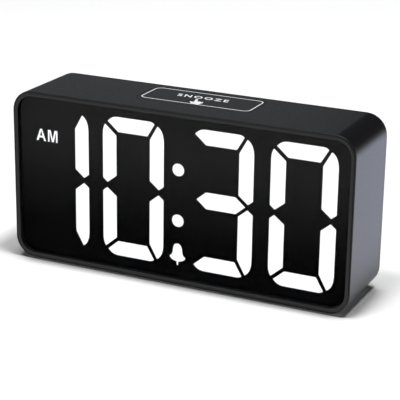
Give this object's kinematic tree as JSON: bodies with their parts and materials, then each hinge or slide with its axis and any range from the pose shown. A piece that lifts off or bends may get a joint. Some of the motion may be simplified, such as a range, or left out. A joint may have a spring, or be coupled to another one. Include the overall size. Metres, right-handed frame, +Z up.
{
  "type": "digital alarm clock",
  "caption": "Wide black bedside alarm clock with a full-face white segment display, a flush snooze key on top and set keys on the back.",
  "frame": {"origin": "centre of the footprint, on the surface that the feet stand on", "axes": "+X to the right of the display, +Y from the display to the back, +Z up"},
  "size_m": [0.15, 0.0362, 0.0732],
  "materials": {
    "case_plastic": "satin",
    "lens_acrylic": "gloss",
    "mask_film": "matte",
    "foam_tape": "matte",
    "lit_diffuser": "satin",
    "white_plastic": "satin",
    "circuit_board": "satin",
    "key_plastic": "satin",
    "black_plastic": "satin",
    "plated_steel": "satin",
    "cell_sleeve": "satin",
    "speaker_paper": "matte",
    "foot_rubber": "matte"
  },
  "bodies": {
    "case": {"housing_shell": "case_plastic", "rear_cover": "case_plastic", "front_lens": "lens_acrylic", "display_mask": "mask_film", "lens_tape": "foam_tape", "hour_tens_diffuser": "lit_diffuser", "hour_units_diffuser": "lit_diffuser", "minute_tens_diffuser": "lit_diffuser", "minute_units_diffuser": "lit_diffuser", "colon_bell_diffuser": "lit_diffuser", "am_pm_diffuser": "lit_diffuser", "display_reflector": "white_plastic", "led_board": "circuit_board", "key_board": "circuit_board", "main_board": "circuit_board", "snooze_board": "circuit_board", "board_header": "black_plastic", "alarm_slide_switch": "plated_steel", "volume_slide_switch": "plated_steel", "dimmer_pot": "black_plastic", "snooze_switch": "black_plastic", "dc_jack": "black_plastic", "dc_jack_pin": "plated_steel", "usb_port": "plated_steel", "usb_tongue": "white_plastic", "speaker_basket": "plated_steel", "speaker_cone": "speaker_paper", "speaker_magnet": "plated_steel", "speaker_lead": "black_plastic", "battery_tray": "black_plastic", "negative_contact": "plated_steel", "positive_contact": "plated_steel", "bridge_contact": "plated_steel", "battery_cell_1": "cell_sleeve", "battery_cell_2": "cell_sleeve", "foot_pad_1": "foot_rubber", "rear_screw_1": "plated_steel", "foot_pad_2": "foot_rubber", "rear_screw_2": "plated_steel", "foot_pad_3": "foot_rubber", "rear_screw_3": "plated_steel", "foot_pad_4": "foot_rubber", "rear_screw_4": "plated_steel"},
    "snooze": {"snooze_key": "case_plastic", "snooze_stem": "white_plastic"},
    "alarm_lever": {"alarm_slider": "key_plastic"},
    "volume_lever": {"volume_slider": "key_plastic"},
    "dimmer": {"dimmer_wheel": "key_plastic"},
    "battery_lid": {"battery_door": "case_plastic"},
    "time_button": {"time_key": "key_plastic", "time_key_stem": "white_plastic"},
    "alarm_button": {"alarm_key": "key_plastic", "alarm_key_stem": "white_plastic"},
    "hour_button": {"hour_key": "key_plastic", "hour_key_stem": "white_plastic"},
    "minute_button": {"minute_key": "key_plastic", "minute_key_stem": "white_plastic"},
    "daylight_button": {"daylight_key": "key_plastic", "daylight_key_stem": "white_plastic"}
  },
  "joints": [
    {"name": "snooze_press", "type": "slide", "parent": "case", "child": "snooze", "axis": [0, 0, -1], "range_m": [0, 0.001], "stiffness_N_per_m": 600, "springref_m": -0.001},
    {"name": "time_press", "type": "slide", "parent": "case", "child": "time_button", "axis": [0, -1, 0], "range_m": [0, 0.0006], "stiffness_N_per_m": 500, "springref_m": -0.001},
    {"name": "alarm_press", "type": "slide", "parent": "case", "child": "alarm_button", "axis": [0, -1, 0], "range_m": [0, 0.0006], "stiffness_N_per_m": 500, "springref_m": -0.001},
    {"name": "hour_press", "type": "slide", "parent": "case", "child": "hour_button", "axis": [0, -1, 0], "range_m": [0, 0.0006], "stiffness_N_per_m": 500, "springref_m": -0.001},
    {"name": "minute_press", "type": "slide", "parent": "case", "child": "minute_button", "axis": [0, -1, 0], "range_m": [0, 0.0006], "stiffness_N_per_m": 500, "springref_m": -0.001},
    {"name": "daylight_press", "type": "slide", "parent": "case", "child": "daylight_button", "axis": [0, -1, 0], "range_m": [0, 0.0006], "stiffness_N_per_m": 500, "springref_m": -0.001},
    {"name": "alarm_slide", "type": "slide", "parent": "case", "child": "alarm_lever", "axis": [-1, 0, 0], "range_m": [0, 0.004]},
    {"name": "volume_slide", "type": "slide", "parent": "case", "child": "volume_lever", "axis": [-1, 0, 0], "range_m": [0, 0.004]},
    {"name": "dimmer_turn", "type": "hinge", "parent": "case", "child": "dimmer", "pos_m": [-0.04725, 0.0118, 0.057], "axis": [0, 0, 1], "range_deg": [0, 270]},
    {"name": "battery_lid_hinge", "type": "hinge", "parent": "case", "child": "battery_lid", "pos_m": [-0.008, 0.01705, 0.01495], "axis": [-1, 0, 0], "range_deg": [0, 95]}
  ]
}
